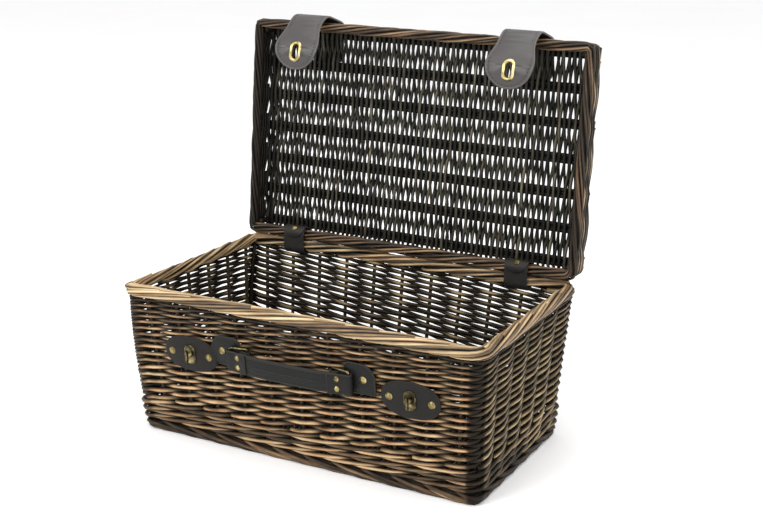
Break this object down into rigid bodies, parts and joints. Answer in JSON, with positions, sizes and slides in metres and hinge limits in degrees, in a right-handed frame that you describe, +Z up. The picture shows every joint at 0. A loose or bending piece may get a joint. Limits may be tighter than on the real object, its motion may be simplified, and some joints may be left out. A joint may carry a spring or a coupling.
{
  "type": "wicker picnic basket",
  "caption": "Rectangular woven willow picnic basket with an open hinged lid, leather closing straps with brass turn locks, and a leather handle on wire rings.",
  "frame": {"origin": "middle of the woven bottom's underside, on the floor", "axes": "+X to the right across the front, +Y from the front to the hinged back, +Z up; the lid is open at rest"},
  "size_m": [0.46, 0.3337, 0.469],
  "materials": {
    "willow": "rubbed dark stain, satin",
    "willow_light": "rubbed light brown, satin",
    "willow_dark": "black-brown stain, dull",
    "leather": "charcoal, satin",
    "brass": "antique, worn"
  },
  "bodies": {
    "basket": {"foot_border": "willow_light", "base_weave": "willow", "base_sticks": "willow_dark", "upsett": "willow", "front_weave": "willow", "right_weave": "willow", "back_weave": "willow", "left_weave": "willow", "front_stakes": "willow_dark", "right_stakes": "willow_dark", "back_stakes": "willow_dark", "left_stakes": "willow_dark", "corner_posts": "willow_dark", "top_border": "willow_light", "latch_plate_left": "leather", "latch_plate_right": "leather", "latch_rivets": "brass", "lock_base_left": "brass", "lock_base_right": "brass", "handle_tab_left": "leather", "handle_tab_right": "leather", "tab_rivets": "brass", "hinge_loop_left": "leather", "hinge_loop_right": "leather", "hinge_studs": "brass"},
    "lid": {"lid_border": "willow_light", "lid_front_skirt": "willow", "lid_right_skirt": "willow", "lid_back_skirt": "willow", "lid_left_skirt": "willow", "lid_corner_posts": "willow_dark", "lid_weave": "willow", "lid_sticks": "willow_dark", "strap_anchor_left": "leather", "strap_anchor_right": "leather", "anchor_rivets": "brass"},
    "strap_neck_left_body": {"strap_neck_left": "leather"},
    "strap_neck_right_body": {"strap_neck_right": "leather"},
    "strap_tongue_left_body": {"strap_tongue_left": "leather", "eyelet_left": "brass"},
    "strap_tongue_right_body": {"strap_tongue_right": "leather", "eyelet_right": "brass"},
    "lock_knob_left_body": {"lock_knob_left": "brass"},
    "lock_knob_right_body": {"lock_knob_right": "brass"},
    "handle": {"handle_strap": "leather", "handle_rivets": "brass"},
    "ring_left": {"handle_ring_left": "brass"},
    "ring_right": {"handle_ring_right": "brass"}
  },
  "joints": [
    {"name": "lid_hinge", "type": "hinge", "parent": "basket", "child": "lid", "pos_m": [0, 0.128, 0.1933], "axis": [1, 0, 0], "range_deg": [0, 95]},
    {"name": "strap_lift_left", "type": "hinge", "parent": "lid", "child": "strap_neck_left_body", "pos_m": [-0.142, 0.15194, 0.46691], "axis": [-1, 0, 0], "range_deg": [-9.2, 95]},
    {"name": "strap_hang_left", "type": "hinge", "parent": "strap_neck_left_body", "child": "strap_tongue_left_body", "pos_m": [-0.142, 0.10484, 0.46773], "axis": [-1, 0, 0], "range_deg": [0, 97.6]},
    {"name": "strap_lift_right", "type": "hinge", "parent": "lid", "child": "strap_neck_right_body", "pos_m": [0.142, 0.15194, 0.46691], "axis": [-1, 0, 0], "range_deg": [-9.2, 95]},
    {"name": "strap_hang_right", "type": "hinge", "parent": "strap_neck_right_body", "child": "strap_tongue_right_body", "pos_m": [0.142, 0.10484, 0.46773], "axis": [-1, 0, 0], "range_deg": [0, 97.6]},
    {"name": "lock_turn_left", "type": "hinge", "parent": "basket", "child": "lock_knob_left_body", "pos_m": [-0.142, -0.13028, 0.11281], "axis": [0, -0.9929, -0.1187], "range_deg": [0, 90]},
    {"name": "lock_turn_right", "type": "hinge", "parent": "basket", "child": "lock_knob_right_body", "pos_m": [0.142, -0.13028, 0.11281], "axis": [0, -0.9929, -0.1187], "range_deg": [0, 90]},
    {"name": "handle_pull", "type": "slide", "parent": "basket", "child": "handle", "axis": [0, -0.9929, -0.1187], "range_m": [0, 0.0127]},
    {"name": "ring_swing_left", "type": "hinge", "parent": "basket", "child": "ring_left", "pos_m": [-0.061, -0.13052, 0.11988], "axis": [0, -0.1187, 0.9929], "range_deg": [0, 38]},
    {"name": "ring_swing_right", "type": "hinge", "parent": "basket", "child": "ring_right", "pos_m": [0.049, -0.13052, 0.11988], "axis": [0, 0.1187, -0.9929], "range_deg": [0, 38]}
  ],
  "couplings": [
    {"joint": "strap_hang_left", "follows": "lid_hinge", "ratio": 1.0246},
    {"joint": "strap_hang_right", "follows": "lid_hinge", "ratio": 1.0246},
    {"joint": "ring_swing_left", "follows": "handle_pull", "rad_per_m": 51.673},
    {"joint": "ring_swing_right", "follows": "handle_pull", "rad_per_m": 51.673}
  ]
}
